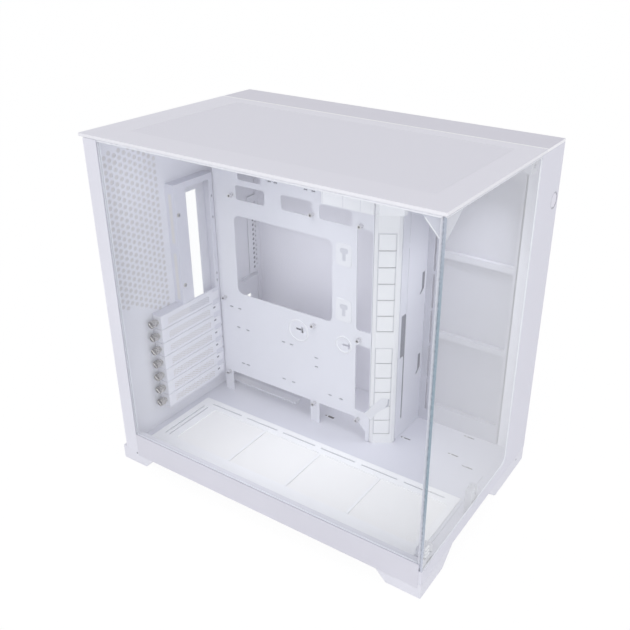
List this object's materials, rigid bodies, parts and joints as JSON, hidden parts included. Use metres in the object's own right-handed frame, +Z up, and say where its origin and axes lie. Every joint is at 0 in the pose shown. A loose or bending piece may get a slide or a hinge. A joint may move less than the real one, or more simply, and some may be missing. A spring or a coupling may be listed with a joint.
{
  "type": "computer case",
  "caption": "White two-chamber tower computer case with lift-off glass front and side, vented top cover, steel side panel, board tray, slot covers and a push button.",
  "frame": {"origin": "centre of the footprint, on the plane the foot pads stand on", "axes": "+X towards the steel side panel, -X towards the side glass, -Y towards the front glass, +Z up"},
  "size_m": [0.3, 0.46, 0.45],
  "materials": {
    "frame_paint": "satin white powder coat",
    "cover_paint": "satin white powder coat",
    "bright_plastic": "bright white, fine grain",
    "tile_plastic": "white, soft edges",
    "foot_plastic": "white, fine grain",
    "pad_rubber": "soft grey",
    "filter_mesh": "fine woven mesh",
    "top_mesh_metal": "finely perforated, satin white",
    "clear_glass": "clear tempered glass, polished edges",
    "nickel": "bright nickel plate",
    "clip_plastic": "white moulded",
    "button_plastic": "white, satin"
  },
  "bodies": {
    "chassis": {"base_pan": "frame_paint", "rear_panel": "frame_paint", "io_slot_bracket": "frame_paint", "motherboard_tray": "frame_paint", "step_panel": "frame_paint", "fan_bracket": "frame_paint", "front_inner_post": "frame_paint", "top_frame": "frame_paint", "corner_gusset": "frame_paint", "psu_shelf": "frame_paint", "drive_bracket_rear": "frame_paint", "drive_bracket_front": "frame_paint", "side_skirt": "frame_paint", "slot_cover_1": "frame_paint", "slot_cover_2": "frame_paint", "slot_cover_3": "frame_paint", "slot_cover_4": "frame_paint", "slot_cover_5": "frame_paint", "slot_cover_6": "frame_paint", "slot_cover_7": "frame_paint", "front_bezel": "cover_paint", "top_strip": "cover_paint", "bottom_filter_frame": "bright_plastic", "cable_bar": "bright_plastic", "cable_bar_head": "bright_plastic", "tray_ledge": "bright_plastic", "cable_bar_tiles": "tile_plastic", "foot_front_left": "foot_plastic", "foot_front_right": "foot_plastic", "foot_rear_left": "foot_plastic", "foot_rear_right": "foot_plastic", "foot_pads": "pad_rubber", "bottom_filter_mesh": "filter_mesh", "fan_filter": "filter_mesh", "slot_thumbscrews": "nickel", "standoffs": "nickel", "clip_sockets": "clip_plastic", "button_housing": "clip_plastic"},
    "side_glass_panel": {"side_glass": "clear_glass"},
    "front_glass_panel": {"front_glass": "clear_glass", "clip_studs": "clip_plastic"},
    "top_cover": {"top_panel": "cover_paint", "top_mesh": "top_mesh_metal"},
    "steel_side_panel": {"right_side_panel": "cover_paint"},
    "button": {"power_button": "button_plastic"}
  },
  "joints": [
    {"name": "side_glass_pull", "type": "slide", "parent": "chassis", "child": "side_glass_panel", "axis": [-1, 0, 0], "range_m": [0, 0.12]},
    {"name": "front_glass_pull", "type": "slide", "parent": "chassis", "child": "front_glass_panel", "axis": [0, -1, 0], "range_m": [0, 0.12]},
    {"name": "top_cover_lift", "type": "slide", "parent": "chassis", "child": "top_cover", "axis": [0, 0, 1], "range_m": [0, 0.12]},
    {"name": "steel_panel_pull", "type": "slide", "parent": "chassis", "child": "steel_side_panel", "axis": [1, 0, 0], "range_m": [0, 0.12]},
    {"name": "power_press", "type": "slide", "parent": "chassis", "child": "button", "axis": [0, 1, 0], "range_m": [0, 0.0015], "stiffness_N_per_m": 800, "springref_m": -0.001}
  ]
}
